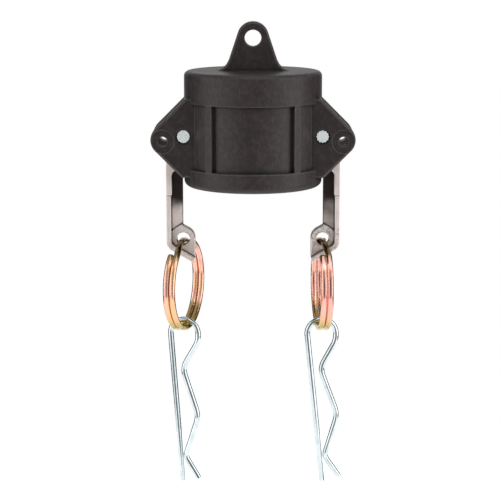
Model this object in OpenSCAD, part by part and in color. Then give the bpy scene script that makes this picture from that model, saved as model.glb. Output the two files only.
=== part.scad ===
// Camlock dust cap, 2 inch size: closed moulded cap with two cam levers, their pivot pins, a seal,
// two split rings and two R-clips.
// Frame: origin at the centre of the socket's mouth, +Z towards the closed end, +X to the right-hand lever.
// All sizes are in millimetres and degrees.

/* [Socket] */
// Bore that takes the mating adapter
socket_d = 64; // [63.6:0.1:64.4]
// How much wider the guide length behind the mouth is, on the radius
guide_step = 0.4; // [0.3:0.05:0.6]
// Depth of the guide length
guide_depth = 14; // [12:0.5:15]
// Chamfer at the mouth
mouth_chamfer = 1; // [0.6:0.1:1.6]
// Height of the seal's seat
seat_h = 6.8; // [6.6:0.1:7.2]
// How far the seal's seat is let into the wall
seat_step = 1.65; // [1.4:0.05:1.8]
// Thickness of the closed end
roof_t = 5.9; // [5:0.1:6.5]

/* [Cap body] */
// Wall of the crown outside the seal's seat
crown_wall_t = 4.1; // [3.6:0.1:4.4]
// Wall of the mouth rim outside the guide length
rim_wall_t = 5.45; // [5:0.05:5.8]
// Wall between the ribs and the ears
side_wall_t = 4; // [3.5:0.1:4.6]
// Wall behind the recessed front and rear panels
panel_wall_t = 3; // [2.4:0.1:3.4]
// Height of the whole cap without its eye
cap_h = 63.1; // [61:0.1:66]
// Height of the mouth rim
rim_h = 10.7; // [9.5:0.1:12]
// Height of the crown
crown_h = 16.8; // [15.6:0.1:18]
// Radius of the crown's upper edge
crown_round = 2.8; // [2:0.1:3.2]
// Radius of the rim's lower outer edge
rim_round = 3.5; // [2.5:0.1:4]
// Half of the angle over which a panel runs
panel_half_angle = 36.4; // [33:0.2:38]
// Angle that one upright rib covers
rib_angle = 6.3; // [5:0.1:7]

/* [Ears] */
// Width over the outer faces of a pair of ears
ears_w = 35; // [34:0.1:36]
// Gap between the two ears, which is also the width of the cam slot
ears_gap = 18; // [17.8:0.1:18.4]
// Distance of the ears' round tip centre outward of the pivot
tip_out = 9.5; // [9:0.1:10]
// Height of the ears' round tip centre
tip_z = 26.7; // [26.2:0.1:27.2]
// Radius of the ears' tip
tip_r = 7.4; // [7:0.1:8]
// Height of the ears' lower end
ear_low_z = 7.2; // [6.5:0.1:8]
// Height of the ears' upper end
ear_top_z = 48.3; // [47.5:0.1:49]
// Broken edge round the ears' outer faces
ear_edge = 1; // [0.6:0.1:1.4]
// Distance of the clip hole outward of the pivot
clip_hole_out = 11.4; // [11.2:0.1:11.8]
// Height of the clip hole
clip_hole_z = 25.95; // [25.5:0.05:26.5]
// Clip hole diameter
clip_hole_d = 5.4; // [5:0.1:6.2]
// Diameter of the shallow round recess about the clip hole
clip_recess_d = 12.4; // [10.5:0.1:12.6]
// Depth of that recess
clip_recess_t = 0.5; // [0.3:0.1:0.8]

/* [Cam slots] */
// Lower end of the slot
slot_low_z = 15.5; // [15:0.1:16]
// Upper end of the slot
slot_top_z = 41; // [40.5:0.1:42]

/* [Tether eye] */
// Thickness of the eye
eye_t = 8; // [6:0.5:10]
// Height of the eye's hole above the crown
eye_hole_h = 17.7; // [17:0.1:18.4]
// Diameter of the eye's hole
eye_hole_d = 9.1; // [8.5:0.1:10]
// Outside radius of the eye
eye_r = 8.65; // [8.4:0.05:9.4]
// Lean of the eye's straight sides
eye_side_a = 18.5; // [17:0.1:20]
// Radius of the foot's curve
eye_foot_r = 8.5; // [7:0.1:9.5]
// Broken edge round the eye
eye_edge = 0.8; // [0.5:0.05:0.85]

/* [Seal] */
// Seal inside diameter
seal_id = 50.8; // [50:0.1:52]
// Seal thickness
seal_t = 6.3; // [6:0.1:6.4]

/* [Pivots] */
// How far a pivot lies inside the rim's outer face
pivot_inset = 0.25; // [0:0.05:0.4]
// Height of the pivots
pivot_z = 28.8; // [28.4:0.1:29.2]
// Pin diameter
pin_d = 6.8; // [6.4:0.1:6.9]
// Pin length
pin_l = 34.6; // [34:0.1:35]
// Diameter over the serrations of the right-hand pin
serration_d = 7; // [6.9:0.05:7.05]
// Number of serrations
serration_count = 12; // [10:1:16]
// Length of the serrated end
serration_l = 3; // [2:0.5:5]
// Depth of the serrations
serration_depth = 0.45; // [0.3:0.05:0.6]

/* [Levers] */
// Width of the lever's head and upper flange
lever_w = 17.4; // [17:0.1:17.4]
// Width of the flange along the lower part
lever_low_w = 14.4; // [13:0.1:15]
// Thickness of the central web
web_t = 4; // [3:0.1:5]
// Thickness of the lug at the end
lug_t = 5.6; // [5:0.1:6]
// Radius of the cam
cam_r = 6.9; // [6.8:0.05:7]
// Outward offset of the cam's centre from the pivot (negative is towards the bore)
cam_u = -1.3; // [-1.5:0.05:-1.2]
// Upward offset of the cam's centre from the pivot
cam_w = -1.6; // [-1.8:0.05:-1.5]
// Distance of the outer face from the pivot
outer_u = 10.05; // [9.8:0.05:10.2]
// Gap between the rim and a lever that hangs down
lever_gap = 0.85; // [0.7:0.05:1.2]
// Flange thickness of the upper part
flange_t = 3.05; // [2.6:0.05:3.4]
// Flange thickness of the lower part
flange_low_t = 2.5; // [2.2:0.05:2.8]
// Depth below the pivot at which the side pockets begin
pocket_w = 19.3; // [18:0.1:21]
// Depth below the pivot of the step between upper and lower flange
step_w = 33.3; // [32:0.1:35]
// Outward position of the ring hole
lug_u = 0.9; // [0.6:0.05:1.2]
// Depth of the ring hole below the pivot
lug_w = 58.5; // [58:0.1:59]
// Ring hole diameter
lug_hole_d = 7.2; // [7:0.1:7.6]
// Radius of the lug about its hole
lug_r = 6.5; // [6.2:0.1:7]
// Fall of the sloping end, in degrees below level
end_slope = 30.3; // [28:0.1:32]
// Radius of the outer corner above the sloping end
corner_r = 5.5; // [4.5:0.1:6]
// How far below the ring hole the outer face and the sloping end would meet
corner_below = 4.2; // [3.8:0.1:5]
// Inward reach of the lever's tip beyond the pivot line
tip_u = 4.9; // [4.5:0.1:5.4]

/* [Split rings] */
// Inside radius of the ring
ring_rin = 23.2; // [22.8:0.1:23.6]
// Thickness of a strand across the ring
strand_t = 2.8; // [2.6:0.1:2.9]
// Width of a strand along the ring's axis
strand_w = 3.2; // [3:0.1:3.3]
// Broken edge of a strand
strand_edge = 0.8; // [0.5:0.05:0.9]
// Gap between the two turns
turn_gap = 0.25; // [0.2:0.05:0.4]
// Half of the angle over which the wire crosses from one turn to the other
cross_half_angle = 31; // [30:1:40]
// How far the crossing is turned towards the front
cross_turn = 10; // [0:1:12]
// Turn of the left ring about the upright
ring_yaw_left = -17.3; // [-21:0.1:-8]
// Turn of the right ring about the upright
ring_yaw_right = 4.9; // [4:0.1:9]

/* [R-clips] */
// Wire diameter
wire_d = 3.2; // [3:0.1:3.3]
// Radius of the loop at the wire's centre
loop_r = 8.1; // [7.6:0.1:8.4]
// Length of the straight leg
leg_l = 85.7; // [84:0.1:89]
// Lean of the left clip
clip_lean_left = 4.4; // [4:0.1:6]
// Lean of the right clip
clip_lean_right = 5.9; // [4:0.1:6.4]

/* [Hidden] */
$fa = 5;
$fs = 0.4;
overlap = 1;                       // how far a cut or a joined piece runs past a face
seat_gap = 0.3;                    // gap between a loose piece and what carries it
pin_gap = 0.45;                    // gap between a pin and its holes
socket_r = socket_d / 2;
guide_r = socket_r + guide_step;
seat_r = socket_r + seat_step;
crown_r = seat_r + crown_wall_t;
rim_r = guide_r + rim_wall_t;
wall_r = socket_r + side_wall_t;
panel_r = socket_r + panel_wall_t;
rib_edge = 0.4;                    // broken edge of the crown's and rim's ledges
ear_corner = 0.7;                  // broken upper corner of an ear
ears_half = ears_w / 2;
gap_half = ears_gap / 2;
ear_bite = 3;                      // how far the ears start inside the bore
ear_root_x = socket_r - ear_bite;
pivot_x = rim_r - pivot_inset;
tip_x = pivot_x + tip_out;
clip_hole_x = pivot_x + clip_hole_out;
pin_hole_r = pin_d / 2 + pin_gap;
seal_r = seat_r - seat_gap;
seat_top_z = cap_h - roof_t;
seat_z = seat_top_z - seat_h;
crown_z = cap_h - crown_h;
slot_corner = 2;                   // corner radius of the cam slot
eye_rise = 0.25;                   // centre of the eye's outer curve above its hole
eye_hole_z = cap_h + eye_hole_h;
eye_z = eye_hole_z + eye_rise;
eye_sink = 0.1;                    // how far the foot's curve runs down into the crown
foot_steps = 4;                    // straight lengths of the foot's curve
turn_off = (strand_w + turn_gap) / 2;
ring_mid_r = ring_rin + strand_t / 2;
cross_tilt = asin(turn_off / (ring_mid_r * sin(cross_half_angle)));
cross_lap = 1.2;                   // lap of the crossing strand into each turn, in degrees
strand_drop = 2.8;                 // inner face of the ring's top below the centre of the lug hole
ring_x = pivot_x + lug_u;
ring_z = pivot_z - lug_w - strand_drop - ring_rin;
loop_drop = 5.3;                   // loop centre below the inner face of the ring's foot
loop_end_l = 0.5;                  // short straight after the clip's loop
clip_z = ring_z - ring_rin - loop_drop;
inner_u = pivot_inset + lever_gap;
corner_w = lug_w + corner_below;
cam_c = [cam_u, cam_w];
heel = [outer_u, -10];             // top of the lever's outer face
throat = [inner_u, -13];           // top of the lever's inner edge
slope_dir = [-cos(end_slope), -sin(end_slope)];
corner_run = corner_r * tan((90 - end_slope) / 2);
pocket_r = 3.4;                    // corner radius of the side pockets
tip_edge = 0.6;                    // broken edge of the lever's lower tip
lug_touch_a = 118;                 // where the lever's inner edge leaves the lug's curve, from +u
lug_back = 10;                     // straight back edge of the lug below its hole
lug_front_low = 3;                 // upper ends of the lug's front edge and slope, above its hole
lug_front_top = 6.2;
lug_top = 8.6;
bend_d = wire_d - 0.06;            // wire diameter in the bends
bend_lap = 0.3;                    // how far a bend runs into the straight next to it

// Points of an arc from angle a0 to a1 about c
function arc_pts(c, r, a0, a1, n) =
    [for (i = [0 : n]) let (a = a0 + (a1 - a0) * i / n) [c[0] + r * cos(a), c[1] + r * sin(a)]];

// Angle at which a line from p touches a circle; s picks the side
function touch_angle(c, r, p, s) =
    atan2(p[1] - c[1], p[0] - c[0]) + s * acos(r / norm(p - c));

// Upright plate: a flat outline in X and Z, given thickness t about Y = 0
module plate(t) {
    rotate([90, 0, 0]) linear_extrude(height = t, center = true) children();
}

// Part of a ring about Z, between two radii, from angle a over an angle da
module sector(r_in, r_out, z0, z1, a, da) {
    rotate([0, 0, a]) rotate_extrude(angle = da)
        translate([r_in, z0]) square([r_out - r_in, z1 - z0]);
}

module mirrored_x() {
    children();
    mirror([1, 0, 0]) children();
}

// Solid of revolution of the cap: rim, inner wall and crown
module cap_turned() {
    crown_pts = arc_pts([crown_r - crown_round, cap_h - crown_round], crown_round, 0, 90, 8);
    rim_pts = arc_pts([rim_r - rim_round, rim_round], rim_round, -90, 0, 8);
    rotate_extrude() polygon(concat(
        [[0, 0]],
        rim_pts,
        [[rim_r, rim_h - rib_edge], [rim_r - rib_edge, rim_h], [panel_r, rim_h],
         [panel_r, crown_z], [crown_r - rib_edge, crown_z], [crown_r, crown_z + rib_edge]],
        crown_pts,
        [[0, cap_h]]));
}

// Wall between the ribs on one side, and the two upright ribs that bound it
module side_wall() {
    first = -90 + panel_half_angle;
    span = 180 - 2 * panel_half_angle;
    z0 = rim_h - overlap;
    z1 = crown_z + overlap;
    sector(socket_r + overlap, wall_r, z0, z1, first, span);
    for (a = [first, first + span - rib_angle])
        sector(socket_r + overlap, crown_r - rib_edge / 2, z0, z1, a, rib_angle);
}

// Outline of an ear in X and Z, grown all round by a given amount
module ear_outline(grow) {
    r = tip_r + grow;
    low_z = ear_low_z - grow;
    top_z = ear_top_z + grow;
    reach = r * sqrt(2);
    low_x = tip_x + reach - tip_z + low_z;
    top_x = tip_x + reach + tip_z - top_z;
    polygon(concat(
        [[ear_root_x, low_z], [low_x, low_z]],
        arc_pts([tip_x, tip_z], r, -45, 45, 10),
        [[top_x + ear_corner, top_z - ear_corner], [top_x - ear_corner / 2, top_z],
         [ear_root_x, top_z]]));
}

module ear_pair() {
    difference() {
        hull() {
            plate(ears_w) ear_outline(0);
            plate(ears_w - 2 * ear_edge) ear_outline(ear_edge);
        }
        translate([0, 0, -overlap]) linear_extrude(height = cap_h)
            translate([socket_r, -gap_half]) square([pivot_x, ears_gap]);
        for (s = [-1, 1])
            translate([clip_hole_x, s * (ears_half + overlap), clip_hole_z]) rotate([s * 90, 0, 0])
                cylinder(d = clip_recess_d, h = clip_recess_t + overlap);
    }
}

module ear_holes() {
    translate([pivot_x, 0, pivot_z]) rotate([90, 0, 0])
        cylinder(r = pin_hole_r, h = ears_w + 2 * overlap, center = true);
    translate([clip_hole_x, 0, clip_hole_z]) rotate([90, 0, 0])
        cylinder(d = clip_hole_d, h = ears_w + 2 * overlap, center = true);
}

// Slot through the wall that the cam works in
module cam_slot() {
    depth = pivot_x + overlap - ear_root_x;
    translate([ear_root_x, 0, 0]) rotate([90, 0, 90]) linear_extrude(height = depth) {
        translate([-gap_half, slot_low_z + slot_corner])
            square([ears_gap, slot_top_z - slot_low_z - 2 * slot_corner]);
        translate([-gap_half + slot_corner, slot_low_z])
            square([ears_gap - 2 * slot_corner, slot_top_z - slot_low_z]);
        for (y = [-1, 1], z = [slot_low_z + slot_corner, slot_top_z - slot_corner])
            translate([y * (gap_half - slot_corner), z]) circle(r = slot_corner);
    }
}

// Inside of the cap: lead-in, guide length, socket and seat of the seal
module socket_cut() {
    rotate_extrude() polygon([
        [0, -overlap], [guide_r + mouth_chamfer + overlap, -overlap], [guide_r, mouth_chamfer],
        [guide_r, guide_depth], [socket_r, guide_depth + (guide_r - socket_r)],
        [socket_r, seat_z], [seat_r, seat_z], [seat_r, seat_top_z], [0, seat_top_z]]);
}

// One layer of the tether eye in X and Z, right half first: layers 0 and up follow the foot's curve
// from below, the last one is the eye itself; each reaches down into the crown
module eye_layer(k, inset) {
    lean = [cos(eye_side_a), sin(eye_side_a)];
    foot_z = cap_h - eye_sink + eye_foot_r;
    foot_x = (eye_r + eye_foot_r - (foot_z - eye_z) * lean[1]) / lean[0];
    foot = arc_pts([foot_x, foot_z], eye_foot_r + inset, -90, eye_side_a - 180, foot_steps);
    above = k < foot_steps ? [foot[k + 1]] : arc_pts([0, eye_z], eye_r - inset, eye_side_a, 90, 14);
    right = concat([[foot[k][0], cap_h - overlap], foot[k]], above);
    polygon(concat(right, [for (i = [len(right) - 1 : -1 : 0]) [-right[i][0], right[i][1]]]));
}

module tether_eye() {
    difference() {
        union() for (k = [0 : foot_steps]) hull() {
            plate(eye_t) eye_layer(k, eye_edge);
            plate(eye_t - 2 * eye_edge) eye_layer(k, 0);
        }
        translate([0, 0, eye_hole_z]) rotate([90, 0, 0])
            cylinder(d = eye_hole_d, h = eye_t + 2 * overlap, center = true);
    }
}

module cap_body() {
    color("dimgray") {
        difference() {
            union() {
                cap_turned();
                mirrored_x() {
                    side_wall();
                    ear_pair();
                }
            }
            socket_cut();
            mirrored_x() {
                cam_slot();
                ear_holes();
            }
        }
        tether_eye();
    }
}

module seal() {
    color("saddlebrown")
        translate([0, 0, seat_top_z - seat_gap - seal_t]) rotate_extrude()
            translate([seal_id / 2, 0]) square([seal_r - seal_id / 2, seal_t]);
}

// Side view of the whole lever, in u (outward) and w (up) from the pivot
module lever_outline() {
    a_in = touch_angle(cam_c, cam_r, throat, -1);
    a_out = touch_angle(cam_c, cam_r, heel, 1);
    corner_c = [outer_u - corner_r, -corner_w + corner_run];
    slope_len = (outer_u + tip_u) / cos(end_slope);
    tip = [outer_u, -corner_w] + slope_dir * slope_len;
    lug_c = [lug_u, -lug_w];
    lug_touch = lug_c + lug_r * [cos(lug_touch_a), sin(lug_touch_a)];
    shoulder_w = lug_touch[1] + (inner_u - lug_touch[0]) * tan(lug_touch_a - 90);
    polygon(concat(
        [throat],
        arc_pts(cam_c, cam_r, a_in + 360, a_out, 30),
        [heel],
        arc_pts(corner_c, corner_r, 0, end_slope - 90, 8),
        [tip - tip_edge * slope_dir, tip + [0, tip_edge], [lug_u - lug_r, -lug_w - lug_back]],
        arc_pts(lug_c, lug_r, 180, lug_touch_a, 7),
        [[inner_u, shoulder_w]]));
}

// Side pocket of the lever down to the sloping end, open towards the cap
module pocket_outline(low) {
    floor_w = -corner_w + flange_low_t / cos(end_slope);
    u1 = outer_u - (low ? flange_low_t : flange_t);
    top = low ? -step_w : -pocket_w;
    far = outer_u + lug_r;
    corner_at = [u1, floor_w - (outer_u - u1) * tan(end_slope)];
    run = pocket_r * tan((90 - end_slope) / 2);
    slope_end = corner_at + slope_dir * (far + u1) / cos(end_slope);
    polygon(concat(
        [[-far, top]],
        low ? [[u1, top]] : arc_pts([u1 - pocket_r, top - pocket_r], pocket_r, 90, 0, 6),
        arc_pts([u1 - pocket_r, corner_at[1] + run], pocket_r, 0, end_slope - 90, 6),
        [slope_end]));
}

module lever() {
    side = (lever_w - web_t) / 2;
    difference() {
        plate(lever_w) lever_outline();
        // pockets on both sides of the web
        for (s = [-1, 1]) translate([0, s * (web_t / 2 + side / 2 + overlap / 2), 0]) {
            plate(side + overlap) pocket_outline(false);
            plate(side + overlap) pocket_outline(true);
        }
        // narrower flange below the step
        for (s = [-1, 1])
            translate([0, s * (lever_low_w + lever_w) / 4 + s * overlap / 2, 0])
                plate((lever_w - lever_low_w) / 2 + overlap)
                    translate([-outer_u - lug_r, -2 * lug_w])
                        square([2 * (outer_u + lug_r), 2 * lug_w - step_w]);
        rotate([90, 0, 0]) cylinder(r = pin_hole_r, h = lever_w + 2 * overlap, center = true);
        translate([lug_u, 0, -lug_w]) rotate([90, 0, 0])
            cylinder(d = lug_hole_d, h = lever_w + 2 * overlap, center = true);
    }
    lug();
}

// Thicker plate about the ring hole
module lug() {
    far = -lug_w - 2 * lug_back;
    front = outer_u - flange_low_t / 2;
    difference() {
        plate(lug_t) intersection() {
            lever_outline();
            polygon([[-outer_u, far], [front, far], [front, lug_front_low - lug_w],
                     [outer_u / 2, lug_front_top - lug_w], [inner_u, lug_top - lug_w],
                     [-outer_u, lug_top - lug_w]]);
        }
        translate([lug_u, 0, -lug_w]) rotate([90, 0, 0])
            cylinder(d = lug_hole_d, h = lug_t + 2 * overlap, center = true);
    }
}

module at_pivot() {
    translate([pivot_x, 0, pivot_z]) children();
}

module lever_right() {
    color("silver") at_pivot() lever();
}

module lever_left() {
    color("silver") mirror([1, 0, 0]) at_pivot() lever();
}

module pin_left() {
    color("lightgray") translate([-pivot_x, 0, pivot_z]) rotate([90, 0, 0])
        cylinder(d = pin_d, h = pin_l, center = true);
}

module pin_right() {
    tooth = 360 / serration_count;
    outer = serration_d / 2;
    color("lightgray") at_pivot() rotate([90, 0, 0]) {
        translate([0, 0, -pin_l / 2]) cylinder(d = pin_d, h = pin_l - serration_l);
        translate([0, 0, pin_l / 2 - serration_l]) linear_extrude(height = serration_l)
            polygon([for (i = [0 : serration_count - 1], k = [0, 1])
                let (a = tooth * (i + k / 2), r = k == 0 ? outer : outer - serration_depth)
                [r * cos(a), r * sin(a)]]);
    }
}

// Section of a strand, with broken edges, at its distance from the ring's axis
module strand_section() {
    w = strand_w / 2;
    e = strand_edge;
    translate([ring_rin, 0]) polygon([
        [e, -w], [strand_t - e, -w], [strand_t, e - w], [strand_t, w - e],
        [strand_t - e, w], [e, w], [0, w - e], [0, e - w]]);
}

// Split ring about X: two turns side by side and the strand that crosses between them at the top
module split_ring() {
    start = 180 + cross_half_angle;
    turn = 360 - 2 * cross_half_angle;
    rotate([0, 90, 0]) rotate([0, 0, cross_turn]) {
        for (s = [-1, 1]) translate([0, 0, s * turn_off]) rotate([0, 0, start])
            rotate_extrude(angle = turn) strand_section();
        rotate([-cross_tilt, 0, 0]) rotate([0, 0, 180 - cross_half_angle - cross_lap])
            rotate_extrude(angle = 2 * (cross_half_angle + cross_lap)) strand_section();
    }
}

module ring_left() {
    color("goldenrod") translate([-ring_x, 0, ring_z]) rotate([0, 0, ring_yaw_left]) split_ring();
}

module ring_right() {
    color("goldenrod") translate([ring_x, 0, ring_z]) rotate([0, 0, ring_yaw_right]) split_ring();
}

// Wire laid piece by piece from the origin along +Z; [0, l] is a straight of length l, and
// [a, r] is a bend of a degrees (towards +X when above 0) at a radius r. Bends are a hair thinner
// than straights and run a little way into them.
module wire(pieces, i = 0) {
    if (i < len(pieces)) {
        a = pieces[i][0];
        size = pieces[i][1];
        lap = bend_lap / size * 180 / PI;
        if (a == 0) {
            cylinder(d = wire_d, h = size);
            translate([0, 0, size]) wire(pieces, i + 1);
        } else if (a > 0) {
            translate([size, 0, 0]) rotate([90, 0, 0]) rotate([0, 0, 180 - a - lap])
                rotate_extrude(angle = a + 2 * lap) translate([size, 0]) circle(d = bend_d);
            translate([size * (1 - cos(a)), 0, size * sin(a)]) rotate([0, a, 0]) wire(pieces, i + 1);
        } else {
            translate([-size, 0, 0]) rotate([90, 0, 0]) rotate([0, 0, -lap])
                rotate_extrude(angle = -a + 2 * lap) translate([size, 0]) circle(d = bend_d);
            translate([-size * (1 - cos(a)), 0, -size * sin(a)]) rotate([0, a, 0])
                wire(pieces, i + 1);
        }
    }
}

// R-clip with the centre of its loop at the origin, straight leg at the left. After the loop the
// wire turns in towards the leg, runs out round the bow, comes back to the leg and flares at its end.
module r_clip() {
    loop = [[180, loop_r], [0, loop_end_l]];
    neck = [[34.8, 12], [0, 10.8], [-49.2, 10]];
    bow = [[0, 19.8], [37.3, 14], [0, 17.5]];
    flare = [[-51.2, 6], [0, 11.9]];
    translate([-loop_r, 0, -leg_l]) wire(concat([[0, leg_l]], loop, neck, bow, flare));
}

module clip_left() {
    color("lightsteelblue") translate([-ring_x, 0, clip_z])
        rotate([0, -clip_lean_left, ring_yaw_left]) r_clip();
}

module clip_right() {
    color("lightsteelblue") translate([ring_x, 0, clip_z])
        rotate([0, -clip_lean_right, ring_yaw_right]) r_clip();
}

cap_body();
seal();
lever_left();
lever_right();
pin_left();
pin_right();
ring_left();
ring_right();
clip_left();
clip_right();
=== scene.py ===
"""Looks of a moulded camlock dust cap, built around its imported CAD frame.

Lengths are in metres, in the frame of the CAD: the origin is at the socket's mouth, +Z runs to the
closed end and +X to the right-hand lever. Names that end in _mm hold millimetres. A pair of limits
gives the value at which something starts to show and the value at which it is full, and a pair of
roughnesses or shares gives the two ends that a noise wanders between.
"""

import logging
import math
from dataclasses import dataclass
from enum import Enum
from typing import Any

import bpy
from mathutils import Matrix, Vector


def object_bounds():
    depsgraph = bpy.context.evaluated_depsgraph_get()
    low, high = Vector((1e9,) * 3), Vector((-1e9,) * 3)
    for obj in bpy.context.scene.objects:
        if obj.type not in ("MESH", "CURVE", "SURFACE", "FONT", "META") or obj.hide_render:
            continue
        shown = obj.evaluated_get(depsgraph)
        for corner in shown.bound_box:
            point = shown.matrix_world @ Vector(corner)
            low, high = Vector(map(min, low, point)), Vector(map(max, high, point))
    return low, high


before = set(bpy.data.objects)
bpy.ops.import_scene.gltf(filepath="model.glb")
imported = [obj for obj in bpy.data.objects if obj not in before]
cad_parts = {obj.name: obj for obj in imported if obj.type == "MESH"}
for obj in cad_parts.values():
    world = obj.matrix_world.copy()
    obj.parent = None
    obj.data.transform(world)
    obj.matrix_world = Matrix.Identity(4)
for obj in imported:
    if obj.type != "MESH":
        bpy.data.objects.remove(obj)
CAD_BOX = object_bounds()
LOG = logging.getLogger("dust_cap")

Node = bpy.types.Node
Socket = bpy.types.NodeSocket
Tree = bpy.types.NodeTree
Colour = tuple[float, float, float, float]
Limits = tuple[float, float]

WHITE: Colour = (1.0, 1.0, 1.0, 1.0)
# settings of a map range node with no corner at either end
SMOOTH = {"interpolation_type": "SMOOTHSTEP"}
# cosine between the rounded and the flat normal over which a point counts as edge, where a painted
# highlight and wear go
EDGE_LIMITS: Limits = (0.99, 0.90)
# share of open space over a point within which a corner gets painted shade
CORNER_SHADE_LIMITS: Limits = (0.97, 0.60)


class Ray(Enum):
    """A kind of ray that can see the background."""

    CAMERA = "Is Camera Ray"
    GLOSSY = "Is Glossy Ray"
    TRANSMISSION = "Is Transmission Ray"


def srgb(code: str) -> Colour:
    """Turns an sRGB colour into linear light.

    Args:
        code: The colour as a hash and six hexadecimal digits.

    Returns:
        Red, green, blue and an alpha of 1.
    """
    parts = [int(code[i : i + 2], 16) / 255 for i in (1, 3, 5)]
    return (*[p / 12.92 if p <= 0.04045 else ((p + 0.055) / 1.055) ** 2.4 for p in parts], 1.0)


def per_mm(size_mm: float) -> float:
    """The scale of a texture in object space whose features are size_mm across."""
    return 1000.0 / size_mm


def node(
    tree: Tree,
    kind: str,
    inputs: dict[str | int, Any] | None = None,
    stops: list[tuple[float, Colour]] | None = None,
    **settings: Any,
) -> Node:
    """Adds a shader node with its settings and links.

    Args:
        tree: The node tree that it goes into.
        kind: The node's type, without the words ShaderNode.
        inputs: What each input gets, by name or number: a value, an output of another node, or
            another node, whose first output in use is taken.
        stops: For a colour ramp, each stop's place, from 0 to 1, and its colour.
        **settings: The node's own properties.

    Returns:
        The new node.
    """
    made = tree.nodes.new("ShaderNode" + kind)
    for name, value in settings.items():
        setattr(made, name, value)
    for key, value in (inputs or {}).items():
        if isinstance(value, Node):
            value = next(output for output in value.outputs if output.enabled)
        if isinstance(value, Socket):
            tree.links.new(value, made.inputs[key])
        else:
            made.inputs[key].default_value = value
    if stops:
        elements = made.color_ramp.elements
        while len(elements) < len(stops):
            elements.new(0.5)
        for element, (place, colour) in zip(elements, stops):
            element.position = place
            element.color = colour
    return made


def seen_by(tree: Tree, *rays: Ray) -> Socket:
    """Tells whether a surface or the world is met by one of some kinds of ray.

    Args:
        tree: The node tree.
        *rays: The kinds of ray.

    Returns:
        1 for those rays and 0 for all others.
    """
    path = node(tree, "LightPath")
    seen = path.outputs[rays[0].value]
    for ray in rays[1:]:
        seen = node(tree, "Math", {0: seen, 1: path.outputs[ray.value]}, operation="MAXIMUM").outputs[0]
    return seen


def metres(limits_mm: Limits) -> Limits:
    """Turns a pair of limits from millimetres into metres."""
    return limits_mm[0] / 1000, limits_mm[1] / 1000


def rising(value: Node | Socket, limits: Limits, shift: float = 0.0) -> dict[str, Any]:
    """Describes a share that rises over a pair of limits.

    Args:
        value: What the share depends on.
        limits: Where the share is 0 and where it is 1.
        shift: What is added to both limits.

    Returns:
        The inputs of a map range node.
    """
    return {"Value": value, "From Min": limits[0] + shift, "From Max": limits[1] + shift}


def ranging(value: Node | Socket, ends: Limits) -> dict[str, Any]:
    """Describes a value that runs from the first end to the second, while another runs from 0 to 1.

    Args:
        value: The value that runs from 0 to 1.
        ends: The two ends.

    Returns:
        The inputs of a map range node.
    """
    return {"Value": value, "To Min": ends[0], "To Max": ends[1]}


def rounded_edge(tree: Tree, size_mm: float) -> tuple[Node, Node]:
    """Rounds the edges in the shading.

    Args:
        tree: The material's node tree.
        size_mm: Radius of the rounding.

    Returns:
        The rounded normal, and a share that rises from 0 on the flats to 1 on the edges.
    """
    rounded = node(tree, "Bevel", {"Radius": size_mm / 1000}, samples=6)
    flat = node(tree, "NewGeometry").outputs["Normal"]
    facing = node(tree, "VectorMath", {0: rounded, 1: flat}, operation="DOT_PRODUCT")
    return rounded, node(tree, "MapRange", rising(facing, EDGE_LIMITS), **SMOOTH)


def painted_corner_shade(tree: Tree, reach_mm: float) -> Node:
    """Finds the inner corners, where shade is painted in.

    Args:
        tree: The material's node tree.
        reach_mm: How far out of a corner it is felt.

    Returns:
        A share from 0 on open faces to 1 deep in a corner.
    """
    free = node(tree, "AmbientOcclusion", {"Distance": reach_mm / 1000}, samples=8).outputs["AO"]
    return node(tree, "MapRange", rising(free, CORNER_SHADE_LIMITS), **SMOOTH)


@dataclass(frozen=True)
class Finish:
    """A material of one piece: what it is made of and how its surface came about."""

    name: str

    def build(self) -> bpy.types.Material:
        """Makes the material.

        Returns:
            A material whose tree ends in one Principled shader.
        """
        material = bpy.data.materials.new(self.name)
        material.use_nodes = True
        tree = material.node_tree
        tree.nodes.clear()
        place = node(tree, "TexCoord").outputs["Object"]
        node(tree, "OutputMaterial", {"Surface": self.surface(tree, place)})
        return material

    def surface(self, tree: Tree, place: Socket) -> Node:
        """Makes the shader.

        Args:
            tree: The material's node tree.
            place: The point on the piece, in metres.

        Returns:
            The Principled shader with all its inputs set.
        """
        raise NotImplementedError


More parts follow.
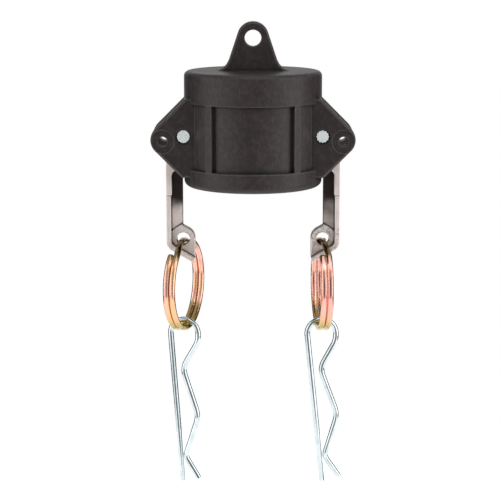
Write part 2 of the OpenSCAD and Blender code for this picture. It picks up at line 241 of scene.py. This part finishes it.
@dataclass(frozen=True)
class MouldedGlassFilledPolypropylene(Finish):
    """Charcoal polypropylene with short glass fibres, out of a spark-eroded steel mould."""

    # The grain of the eroded mould breaks every highlight into a soft sheen, the fibres leave faint
    # pale streaks along the flow, the raised edges are painted paler as a highlight with a little wear,
    # and the inner corners are painted black as shade.
    colour: str = "#221b1b"
    cloud_colour: str = "#2d2525"
    flow_mm: float = 14.0
    mottle_colour: str = "#423837"
    mottle_mm: float = 2.6
    mottle_limits: Limits = (0.44, 0.74)
    mottle_share: float = 0.7
    fibre_colour: str = "#504645"
    # a fibre is far too fine to show, so a streak of many is drawn, stretched along the flow in Z
    fibre_mm: float = 1.1
    fibre_limits: Limits = (0.58, 0.80)
    fibre_share: float = 0.5
    fibre_stretch: tuple[float, float, float] = (1.0, 1.0, 0.35)
    # painted highlight, with a little wear, along the edges
    edge_highlight_and_wear_colour: str = "#7c746f"
    edge_mm: float = 0.7
    edge_highlight_and_wear_share: float = 0.6
    # painted shade: black in the inner corners and in a ring round each pin
    painted_shade_colour: str = "#0b0a09"
    corner_shade_mm: float = 2.6
    # real grain is about 0.1 mm; it is drawn at 0.6 mm, which still shows
    grain_mm: float = 0.6
    grain_depth_mm: float = 0.10
    grain_strength: float = 0.5
    # a black ring round each pin is painted shade, for the gap round the pin
    pin_x_mm: float = 37.6
    pin_z_mm: float = 28.5
    pin_shade_mm: Limits = (4.5, 4.0)
    roughness: Limits = (0.40, 0.56)
    specular: float = 0.42
    ior: float = 1.49

    def pin_shade_share(self, tree: Tree, place: Socket) -> Node:
        """How much painted shade lies round the pins on a point of the ears.

        Args:
            tree: The material's node tree.
            place: The point on the piece, in metres.

        Returns:
            A share from 0 to 1.
        """
        aside = node(tree, "VectorMath", {0: place}, operation="ABSOLUTE")
        flat = node(tree, "VectorMath", {0: aside, 1: (1.0, 0.0, 1.0)}, operation="MULTIPLY")
        pin = (self.pin_x_mm / 1000, 0.0, self.pin_z_mm / 1000)
        away = node(tree, "VectorMath", {0: flat, 1: pin}, operation="DISTANCE")
        return node(tree, "MapRange", rising(away, metres(self.pin_shade_mm)), **SMOOTH)

    def body_colour(self, tree: Tree, place: Socket, cloud: Node) -> Node:
        """Lays mottle and fibres over the clouded plastic.

        Args:
            tree: The material's node tree.
            place: The point on the piece, in metres.
            cloud: The noise of the flow.

        Returns:
            The colour of the open faces.
        """
        along = node(tree, "Mapping", {"Vector": place, "Scale": self.fibre_stretch})
        streak = node(
            tree, "TexNoise", {"Vector": along, "Scale": per_mm(self.fibre_mm), "Detail": 4.0}
        )
        fibres = node(
            tree, "MapRange", rising(streak, self.fibre_limits) | {"To Max": self.fibre_share}
        )
        mottle = node(
            tree,
            "TexNoise",
            {"Vector": place, "Scale": per_mm(self.mottle_mm), "Detail": 5.0, "Roughness": 0.7},
        )
        blotch = node(tree, "MapRange", rising(mottle, self.mottle_limits))
        share = node(tree, "Math", {0: blotch, 1: self.mottle_share}, operation="MULTIPLY")
        clouded = {0: cloud, 6: srgb(self.colour), 7: srgb(self.cloud_colour)}
        body = node(tree, "Mix", clouded, data_type="RGBA")
        body = node(tree, "Mix", {0: share, 6: body, 7: srgb(self.mottle_colour)}, data_type="RGBA")
        return node(tree, "Mix", {0: fibres, 6: body, 7: srgb(self.fibre_colour)}, data_type="RGBA")

    def surface(self, tree: Tree, place: Socket) -> Node:
        """Makes the shader; see Finish.surface."""
        cloud = node(tree, "TexNoise", {"Vector": place, "Scale": per_mm(self.flow_mm), "Detail": 3.0})
        grain = node(tree, "TexNoise", {"Vector": place, "Scale": per_mm(self.grain_mm), "Detail": 2.0})
        rounded, on_edge = rounded_edge(tree, self.edge_mm)
        body = self.body_colour(tree, place, cloud)
        # painted highlight, with a little wear, along the edges
        share = node(tree, "Math", {0: on_edge, 1: self.edge_highlight_and_wear_share}, operation="MULTIPLY")
        body = node(tree, "Mix", {0: share, 6: body, 7: srgb(self.edge_highlight_and_wear_colour)}, data_type="RGBA")
        # painted shade in the inner corners and round the pins
        for dark in (painted_corner_shade(tree, self.corner_shade_mm), self.pin_shade_share(tree, place)):
            body = node(tree, "Mix", {0: dark, 6: body, 7: srgb(self.painted_shade_colour)}, data_type="RGBA")
        bump = {
            "Strength": self.grain_strength,
            "Distance": self.grain_depth_mm / 1000,
            "Height": grain,
            "Normal": rounded,
        }
        inputs = {
            "Base Color": body,
            "Roughness": node(tree, "MapRange", ranging(cloud, self.roughness)),
            "Normal": node(tree, "Bump", bump),
            "Specular IOR Level": self.specular,
            "IOR": self.ior,
        }
        return node(tree, "BsdfPrincipled", inputs)


@dataclass(frozen=True)
class InvestmentCastSteel(Finish):
    """Stainless steel, investment cast and tumbled bright."""

    # Tumbling leaves a soft satin with a faint pebbled skin, and the edges are painted brighter as a
    # highlight with some wear. Brown-black shade is painted on the web, most of all high up under the
    # head, on the edge that faces the cap and in the inner corners. The lug keeps dark pits.
    colour: str = "#f2e9e5"
    cloud_colour: str = "#d2c6c0"
    cloud_mm: float = 9.0
    # shares of the cloud's colour where its noise is 0 and where it is 1
    cloud_shares: Limits = (-0.4, 1.1)
    # painted highlight, with some wear, on the edges
    edge_highlight_and_wear_colour: str = "#f2ece9"
    edge_mm: float = 1.0
    # painted shade in the inner corners, beside the web
    painted_shade_colour: str = "#463b37"
    corner_shade_mm: float = 1.2
    skin_mm: float = 1.1
    skin_depth_mm: float = 0.05
    skin_strength: float = 0.6
    lug_colour: str = "#5d4f49"
    lug_z_mm: Limits = (-19.0, -25.0)
    lug_share: float = 0.3
    pit_limits: Limits = (0.42, 0.66)
    # the edge that faces the cap, down to the top of the lug
    inner_x_mm: Limits = (40.5, 39.5)
    inner_z_mm: Limits = (-29.5, -28.5)
    # the web lies about the plane Y = 0 and ends at the flange's inner face
    web_y_mm: Limits = (2.6, 2.2)
    web_x_mm: Limits = (46.3, 46.0)
    # painted brown-black shade, on the web and on the edge that faces the cap
    brown_shade_colour: str = "#2a2220"
    web_shade_z_mm: Limits = (-20.0, -3.0)
    # how far the lower end of the painted shade wanders up and down
    web_shade_drift_mm: float = 20.0
    # shares of painted shade at the web's lower and upper end
    web_shade_low: float = 0.30
    web_shade_high: float = 0.97
    roughness: Limits = (0.60, 0.72)

    def inner_share(self, tree: Tree, place: Socket) -> Node:
        """Finds the side of the lever that faces the cap, down to the top of the lug.

        Args:
            tree: The material's node tree.
            place: The point on the piece, in metres.

        Returns:
            A share from 0 to 1.
        """
        at = node(tree, "SeparateXYZ", {0: place})
        aside = node(tree, "Math", {0: at.outputs["X"]}, operation="ABSOLUTE")
        inner = node(tree, "MapRange", rising(aside, metres(self.inner_x_mm)), **SMOOTH)
        high = node(tree, "MapRange", rising(at.outputs["Z"], metres(self.inner_z_mm)), **SMOOTH)
        return node(tree, "Math", {0: inner, 1: high}, operation="MULTIPLY")

    def web_shade_share(self, tree: Tree, place: Socket, cloud: Node) -> Node:
        """How much painted shade lies on a point of the web, more of it higher up.

        Args:
            tree: The material's node tree.
            place: The point on the piece, in metres.
            cloud: A noise that makes the edge of the shade uneven.

        Returns:
            A share from 0 to 1.
        """
        at = node(tree, "SeparateXYZ", {0: place})
        off_web = node(tree, "Math", {0: at.outputs["Y"]}, operation="ABSOLUTE")
        aside = node(tree, "Math", {0: at.outputs["X"]}, operation="ABSOLUTE")
        thin = node(tree, "MapRange", rising(off_web, metres(self.web_y_mm)), **SMOOTH)
        inside = node(tree, "MapRange", rising(aside, metres(self.web_x_mm)), **SMOOTH)
        on_web = node(tree, "Math", {0: thin, 1: inside}, operation="MULTIPLY")
        drift = self.web_shade_drift_mm / 1000
        uneven = node(
            tree, "Math", {0: cloud, 1: drift, 2: at.outputs["Z"]}, operation="MULTIPLY_ADD"
        )
        # the noise lies about one half, which would move the shade by half the drift
        high = node(tree, "MapRange", rising(uneven, metres(self.web_shade_z_mm), drift / 2), **SMOOTH)
        left = node(tree, "MapRange", ranging(high, (self.web_shade_low, self.web_shade_high)))
        return node(tree, "Math", {0: on_web, 1: left}, operation="MULTIPLY")

    def lug_pits(self, tree: Tree, place: Socket, skin: Node) -> Node:
        """How dark the pits of the lug are at a point.

        Args:
            tree: The material's node tree.
            place: The point on the piece, in metres.
            skin: The noise of the cast skin.

        Returns:
            A share from 0 to 1.
        """
        height = node(tree, "SeparateXYZ", {0: place}).outputs["Z"]
        on_lug = node(tree, "MapRange", rising(height, metres(self.lug_z_mm)), **SMOOTH)
        pitted = node(tree, "MapRange", rising(skin, self.pit_limits), **SMOOTH)
        pits = node(tree, "Math", {0: on_lug, 1: pitted}, operation="MULTIPLY")
        return node(tree, "Math", {0: pits, 1: self.lug_share}, operation="MULTIPLY")

    def surface(self, tree: Tree, place: Socket) -> Node:
        """Makes the shader; see Finish.surface."""
        cloud = node(tree, "TexNoise", {"Vector": place, "Scale": per_mm(self.cloud_mm), "Detail": 4.0})
        skin = node(tree, "TexNoise", {"Vector": place, "Scale": per_mm(self.skin_mm), "Detail": 3.0})
        rounded, on_edge = rounded_edge(tree, self.edge_mm)
        inner = {0: on_edge, 1: self.inner_share(tree, place)}
        layers = (
            (self.lug_pits(tree, place, skin), self.lug_colour),
            # painted highlight, with some wear, on the edges
            (on_edge, self.edge_highlight_and_wear_colour),
            # painted shade on the edge that faces the cap
            (node(tree, "Math", inner, operation="MULTIPLY"), self.brown_shade_colour),
            # painted shade in the inner corners
            (painted_corner_shade(tree, self.corner_shade_mm), self.painted_shade_colour),
            # painted shade on the web, darkest high up under the head
            (self.web_shade_share(tree, place, cloud), self.brown_shade_colour),
        )
        clouded = node(tree, "MapRange", ranging(cloud, self.cloud_shares))
        colours = {0: clouded, 6: srgb(self.colour), 7: srgb(self.cloud_colour)}
        body = node(tree, "Mix", colours, data_type="RGBA")
        for share, colour in layers:
            body = node(tree, "Mix", {0: share, 6: body, 7: srgb(colour)}, data_type="RGBA")
        bump = {
            "Strength": self.skin_strength,
            "Distance": self.skin_depth_mm / 1000,
            "Height": skin,
            "Normal": rounded,
        }
        inputs = {
            "Base Color": body,
            "Roughness": node(tree, "MapRange", ranging(cloud, self.roughness)),
            "Normal": node(tree, "Bump", bump),
            "Metallic": 1.0,
        }
        return node(tree, "BsdfPrincipled", inputs)


@dataclass(frozen=True)
class DrawnZincPlatedPin(Finish):
    """Cold-drawn steel pin, zinc plated after it was cut to length."""

    # Plating over the cut end gives a pale satin with fine specks.
    colour: str = "#f1f5f5"
    speck_colour: str = "#b9c4c5"
    speck_mm: float = 0.7
    speck_limits: Limits = (0.5, 0.75)
    speck_share: float = 0.7
    edge_mm: float = 0.3
    roughness: Limits = (0.58, 0.70)

    def surface(self, tree: Tree, place: Socket) -> Node:
        """Makes the shader; see Finish.surface."""
        speck = node(tree, "TexNoise", {"Vector": place, "Scale": per_mm(self.speck_mm), "Detail": 3.0})
        share = node(
            tree, "MapRange", rising(speck, self.speck_limits) | {"To Max": self.speck_share}
        )
        colours = {0: share, 6: srgb(self.colour), 7: srgb(self.speck_colour)}
        inputs = {
            "Base Color": node(tree, "Mix", colours, data_type="RGBA"),
            "Roughness": node(tree, "MapRange", ranging(speck, self.roughness)),
            "Normal": node(tree, "Bevel", {"Radius": self.edge_mm / 1000}, samples=6),
            "Metallic": 1.0,
        }
        return node(tree, "BsdfPrincipled", inputs)


@dataclass(frozen=True)
class YellowPassivatedZinc(Finish):
    """Spring steel wire, zinc plated and passivated yellow in a barrel."""

    # The passivation is a clear film of uneven thickness, so its colour wanders between salmon,
    # orange and pink along the wire. It drained to the lower side and dried greenish yellow there, the
    # wire is a darker olive towards its top, by the lever, and the gaps between the turns are painted
    # with an orange-brown shade.
    tones: tuple[str, ...] = ("#eab98c", "#f1bb9a", "#f6bba5", "#f3ada1", "#f9c9b6", "#f0c6a2")
    film_mm: float = 26.0
    film_limits: Limits = (0.28, 0.72)
    drained_colour: str = "#b0a144"
    drained_z_mm: Limits = (-65.0, -80.0)
    drained_share: float = 0.9
    # the wire is a darker olive towards its top, by the lever
    upper_colour: str = "#a08c64"
    upper_z_mm: Limits = (-41.0, -35.0)
    # how far the borders of both zones wander up and down
    drift_mm: float = -10.0
    # painted orange-brown shade in the gaps between the turns
    groove_shade_colour: str = "#a05f28"
    groove_shade_mm: float = 0.9
    scratch_mm: float = 1.2
    scratch_depth_mm: float = 0.01
    scratch_strength: float = 0.15
    # the flat wire has softly rounded faces
    round_mm: float = 1.4
    roughness: Limits = (0.14, 0.20)

    def film_colour(self, tree: Tree, film: Node) -> Node:
        """Colours the film by its thickness.

        Args:
            tree: The material's node tree.
            film: The noise of the film's thickness.

        Returns:
            The colour of the film.
        """
        wide = node(tree, "MapRange", rising(film, self.film_limits))
        stops = [(i / (len(self.tones) - 1), srgb(tone)) for i, tone in enumerate(self.tones)]
        return node(tree, "ValToRGB", {0: wide}, stops)

    def surface(self, tree: Tree, place: Socket) -> Node:
        """Makes the shader; see Finish.surface."""
        thickness = {"Vector": place, "Scale": per_mm(self.film_mm), "Detail": 2.0, "Distortion": 0.8}
        film = node(tree, "TexNoise", thickness)
        height = node(tree, "SeparateXYZ", {0: place}).outputs["Z"]
        drift = self.drift_mm / 1000
        uneven = node(tree, "Math", {0: film, 1: drift, 2: height}, operation="MULTIPLY_ADD")
        # the noise lies about one half, which would move both zones by half the drift
        low = node(tree, "MapRange", rising(uneven, metres(self.drained_z_mm), drift / 2), **SMOOTH)
        upper = node(tree, "MapRange", rising(uneven, metres(self.upper_z_mm), drift / 2), **SMOOTH)
        drained = node(tree, "Math", {0: low, 1: self.drained_share}, operation="MULTIPLY")
        layers = (
            (drained, self.drained_colour),
            # painted orange-brown shade in the gaps between the turns
            (painted_corner_shade(tree, self.groove_shade_mm), self.groove_shade_colour),
            (upper, self.upper_colour),
        )
        body = self.film_colour(tree, film)
        for share, colour in layers:
            body = node(tree, "Mix", {0: share, 6: body, 7: srgb(colour)}, data_type="RGBA")
        scratch = node(
            tree, "TexNoise", {"Vector": place, "Scale": per_mm(self.scratch_mm), "Detail": 4.0}
        )
        bump = {
            "Strength": self.scratch_strength,
            "Distance": self.scratch_depth_mm / 1000,
            "Height": scratch,
            "Normal": node(tree, "Bevel", {"Radius": self.round_mm / 1000}, samples=16),
        }
        inputs = {
            "Base Color": body,
            "Roughness": node(tree, "MapRange", ranging(scratch, self.roughness)),
            "Normal": node(tree, "Bump", bump),
            "Metallic": 1.0,
        }
        return node(tree, "BsdfPrincipled", inputs)


@dataclass(frozen=True)
class BluePassivatedZincWire(Finish):
    """Hard-drawn steel wire, bright zinc plated with a clear bluish passivation."""

    # The plating fills the lines of the drawing and leaves a cool, bright, slightly clouded satin.
    colour: str = "#d6dfe2"
    dull_colour: str = "#b4c0c4"
    cloud_mm: float = 5.0
    # shares of the dull colour where the cloud's noise is 0 and where it is 1
    dull_shares: Limits = (-0.5, 1.2)
    roughness: Limits = (0.08, 0.13)

    def surface(self, tree: Tree, place: Socket) -> Node:
        """Makes the shader; see Finish.surface."""
        cloud = node(tree, "TexNoise", {"Vector": place, "Scale": per_mm(self.cloud_mm), "Detail": 5.0})
        share = node(tree, "MapRange", ranging(cloud, self.dull_shares))
        colours = {0: share, 6: srgb(self.colour), 7: srgb(self.dull_colour)}
        inputs = {
            "Base Color": node(tree, "Mix", colours, data_type="RGBA"),
            "Roughness": node(tree, "MapRange", ranging(cloud, self.roughness)),
            "Metallic": 1.0,
        }
        return node(tree, "BsdfPrincipled", inputs)


@dataclass(frozen=True)
class MouldedNitrileRubber(Finish):
    """Black nitrile rubber, compression moulded."""

    # Rubber is darker and duller than the plastic round it, with a bloom that dulls it in patches.
    colour: str = "#1c1b1b"
    bloom_colour: str = "#2e2d2c"
    bloom_mm: float = 8.0
    roughness: Limits = (0.62, 0.80)
    specular: float = 0.4

    def surface(self, tree: Tree, place: Socket) -> Node:
        """Makes the shader; see Finish.surface."""
        bloom = node(tree, "TexNoise", {"Vector": place, "Scale": per_mm(self.bloom_mm), "Detail": 4.0})
        colours = {0: bloom, 6: srgb(self.colour), 7: srgb(self.bloom_colour)}
        inputs = {
            "Base Color": node(tree, "Mix", colours, data_type="RGBA"),
            "Roughness": node(tree, "MapRange", ranging(bloom, self.roughness)),
            "Specular IOR Level": self.specular,
        }
        return node(tree, "BsdfPrincipled", inputs)


def dress_nodes(names: list[str], finish: Finish) -> None:
    """Gives CAD nodes a finish.

    Args:
        names: The CAD nodes that share the finish.
        finish: What they are made of.
    """
    material = finish.build()
    for name in names:
        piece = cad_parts[name]
        if not piece.material_slots:
            piece.data.materials.append(material)
        for slot in piece.material_slots:
            slot.material = material
        LOG.info("%s: %s", name, finish.name)


@dataclass
class CapBody:
    """The moulded cap with its seal and pivot pins."""

    moulding: Finish = MouldedGlassFilledPolypropylene("moulded glass-filled polypropylene")
    rubber: Finish = MouldedNitrileRubber("moulded nitrile rubber")
    pin: Finish = DrawnZincPlatedPin("drawn zinc-plated pin")

    def build(self) -> None:
        """Dresses the moulding, the seal and the pins."""
        dress_nodes(["cap_body"], self.moulding)
        dress_nodes(["seal"], self.rubber)
        dress_nodes(["pin_left", "pin_right"], self.pin)


@dataclass
class Levers:
    """The two cam levers; the right one has more painted shade on its web and more dark pits on its lug.
    """

    left: Finish = InvestmentCastSteel(
        "investment-cast stainless steel, tumbled", web_shade_low=0.0, lug_share=0.05
    )
    right: Finish = InvestmentCastSteel(
        "investment-cast stainless steel, half tumbled", web_shade_low=0.38, lug_share=0.45
    )

    def build(self) -> None:
        """Dresses both levers."""
        dress_nodes(["lever_left"], self.left)
        dress_nodes(["lever_right"], self.right)


@dataclass
class SplitRings:
    """The two split rings."""

    plating: Finish = YellowPassivatedZinc("yellow passivated zinc")

    def build(self) -> None:
        """Dresses both rings."""
        dress_nodes(["ring_left", "ring_right"], self.plating)


@dataclass
class RClips:
    """The two R-clips."""

    plating: Finish = BluePassivatedZincWire("blue passivated zinc wire")

    def build(self) -> None:
        """Dresses both clips."""
        dress_nodes(["clip_left", "clip_right"], self.plating)


def place_facing(
    name: str,
    data: bpy.types.ID,
    target: Vector,
    azimuth_deg: float,
    elevation_deg: float,
    distance: float,
) -> bpy.types.Object:
    """Adds a lamp or a camera that faces a point.

    Args:
        name: The new object's name.
        data: The lamp or camera.
        target: The point that it faces.
        azimuth_deg: Its direction from the point, from the cap's front to the right.
        elevation_deg: Its height over the point, as an angle.
        distance: How far it stands from the point.

    Returns:
        The new object.
    """
    turn, rise = math.radians(azimuth_deg), math.radians(elevation_deg)
    back = Vector((math.sin(turn) * math.cos(rise), -math.cos(turn) * math.cos(rise), math.sin(rise)))
    made = bpy.data.objects.new(name, data)
    made.location = target + back * distance
    made.rotation_mode = "QUATERNION"
    made.rotation_quaternion = (-back).to_track_quat("-Z", "Y")
    bpy.context.scene.collection.objects.link(made)
    return made


@dataclass(frozen=True)
class SoftBox:
    """A rectangular soft lamp that faces the object."""

    name: str
    azimuth_deg: float
    elevation_deg: float
    distance: float
    width: float
    height: float
    level: float

    def hang(self, centre: Vector) -> None:
        """Hangs the lamp.

        Args:
            centre: The point that it faces.
        """
        data = bpy.data.lights.new(self.name, "AREA")
        data.shape = "RECTANGLE"
        data.size, data.size_y = self.width, self.height
        data.energy = self.level * math.pi * self.width * self.height
        place_facing(self.name, data, centre, self.azimuth_deg, self.elevation_deg, self.distance)


@dataclass
class Studio:
    """A pale floor, a white backdrop and soft lamps; azimuths are from the camera's side to the right."""

    floor_colour: str = "#f4f3f2"
    floor_drop: float = 0.12
    floor_half: float = 0.5
    floor_glow: float = 0.50
    dome: float = 0.64
    # how bright the surround is in gloss: the dark gap between the walls where the camera stands, the
    # pale walls, the black flags beside the backdrop, the ceiling, and the white backdrop itself
    gap: float = 0.14
    wall: float = 1.0
    flag: float = 0.03
    ceiling: float = 0.50
    backdrop: float = 1.0
    # where one of them goes over into the next, as a part of the ray's direction
    gap_to_wall_x: Limits = (0.28, 0.48)
    wall_to_flag_y: Limits = (-0.45, -0.12)
    flag_to_backdrop_y: Limits = (0.86, 0.94)
    side_to_front_y: Limits = (-0.45, -0.6)
    wall_to_ceiling_z: Limits = (0.24, 0.56)
    boxes: tuple[SoftBox, ...] = (
        SoftBox("right box", 74.0, 14.0, distance=1.1, width=0.70, height=1.3, level=1.9),
        SoftBox("left box", -74.0, 12.0, distance=1.1, width=0.65, height=1.3, level=1.45),
        SoftBox("top box", 20.0, 66.0, distance=1.2, width=0.9, height=0.9, level=1.2),
    )

    def build(self) -> None:
        """Makes the floor, the surround and the lamps."""
        self.make_floor()
        self.make_surround()
        low, high = CAD_BOX
        for box in self.boxes:
            box.hang((low + high) / 2)

    def make_floor(self) -> None:
        """Lays a pale floor below the hanging clips."""
        level = CAD_BOX[0].z - self.floor_drop
        half = self.floor_half
        mesh = bpy.data.meshes.new("floor")
        corners = [(x * half, y * half, level) for x, y in ((-1, -1), (1, -1), (1, 1), (-1, 1))]
        mesh.from_pydata(corners, [], [(0, 1, 2, 3)])
        floor = bpy.data.objects.new("floor", mesh)
        bpy.context.scene.collection.objects.link(floor)
        material = bpy.data.materials.new("pale painted floor")
        material.use_nodes = True
        tree = material.node_tree
        tree.nodes.clear()
        paint = node(tree, "BsdfDiffuse", {"Color": srgb(self.floor_colour)})
        seen = seen_by(tree, Ray.CAMERA, Ray.TRANSMISSION, Ray.GLOSSY)
        strength = node(tree, "Math", {0: seen, 1: self.floor_glow}, operation="MULTIPLY")
        glow = node(tree, "Emission", {"Color": WHITE, "Strength": strength})
        node(tree, "OutputMaterial", {"Surface": node(tree, "AddShader", {0: paint, 1: glow})})
        mesh.materials.append(material)

    @staticmethod
    def shades(tree: Tree, way: Node | Socket, steps: list[tuple[float, float]]) -> Node:
        """Gives the surround's brightness along one direction.

        Args:
            tree: The world's node tree.
            way: One part of the ray's direction, from -1 to 1.
            steps: Its values and the brightness at each.

        Returns:
            The brightness, as a grey.
        """
        greys = [((place + 1) / 2, (level, level, level, 1.0)) for place, level in steps]
        along = node(tree, "MapRange", rising(way, (-1.0, 1.0)))
        return node(tree, "ValToRGB", {0: along}, greys)

    def gloss(self, tree: Tree) -> Node:
        """Draws the studio that shows in gloss.

        Args:
            tree: The world's node tree.

        Returns:
            Its brightness along a ray.
        """
        way = node(tree, "SeparateXYZ", {0: node(tree, "TexCoord").outputs["Generated"]})
        aside = node(tree, "Math", {0: way.outputs["X"]}, operation="ABSOLUTE")
        tilt = node(tree, "Math", {0: way.outputs["Z"]}, operation="ABSOLUTE")
        levels = (self.wall, self.flag, self.flag, self.backdrop)
        sides = zip(self.wall_to_flag_y + self.flag_to_backdrop_y, levels)
        depth = self.shades(tree, way.outputs["Y"], list(sides))
        front = self.shades(tree, aside, list(zip(self.gap_to_wall_x, (self.gap, self.wall))))
        ahead = node(tree, "MapRange", rising(way.outputs["Y"], self.side_to_front_y), **SMOOTH)
        above = node(tree, "MapRange", rising(tilt, self.wall_to_ceiling_z), **SMOOTH)
        level = node(tree, "Mix", {0: ahead, 2: depth, 3: front}, data_type="FLOAT")
        return node(tree, "Mix", {0: above, 2: level, 3: self.ceiling}, data_type="FLOAT")

    def make_surround(self) -> None:
        """Makes a surround that is white to the eye, a soft dome as a lamp, and a studio in gloss."""
        world = bpy.data.worlds.new("surround")
        world.use_nodes = True
        tree = world.node_tree
        tree.nodes.clear()
        gloss = {0: seen_by(tree, Ray.GLOSSY), 2: self.dome, 3: self.gloss(tree)}
        soft = node(tree, "Mix", gloss, data_type="FLOAT")
        eye = {0: seen_by(tree, Ray.CAMERA, Ray.TRANSMISSION), 2: soft, 3: 1.0}
        strength = node(tree, "Mix", eye, data_type="FLOAT")
        light = node(tree, "Background", {"Color": WHITE, "Strength": strength})
        node(tree, "OutputWorld", {"Surface": light})
        bpy.context.scene.world = world


@dataclass
class PhotoCamera:
    """The camera of the photograph: a long lens a little above the cap."""

    target: tuple[float, float, float] = (0.0, 0.0, -0.03661)
    distance: float = 0.95
    pitch_deg: float = 10.5
    lens_mm: float = 122.9
    sensor_mm: float = 36.0
    shift_x: float = -0.006
    nearest: float = 0.05
    farthest: float = 50.0

    def build(self) -> None:
        """Places the camera and makes it the scene's own."""
        data = bpy.data.cameras.new("photo camera")
        data.lens = self.lens_mm
        data.sensor_width = self.sensor_mm
        data.shift_x = self.shift_x
        data.clip_start = self.nearest
        data.clip_end = self.farthest
        made = place_facing("photo camera", data, Vector(self.target), 0.0, self.pitch_deg, self.distance)
        bpy.context.scene.camera = made


def main() -> None:
    """Builds the parts of the scene in order."""
    logging.basicConfig(level=logging.INFO, format="%(name)s: %(message)s")
    bpy.context.scene.view_settings.view_transform = "Standard"
    for part in (CapBody(), Levers(), SplitRings(), RClips(), Studio(), PhotoCamera()):
        part.build()
        LOG.info("%s is built", type(part).__name__)


if __name__ == "__main__":
    main()
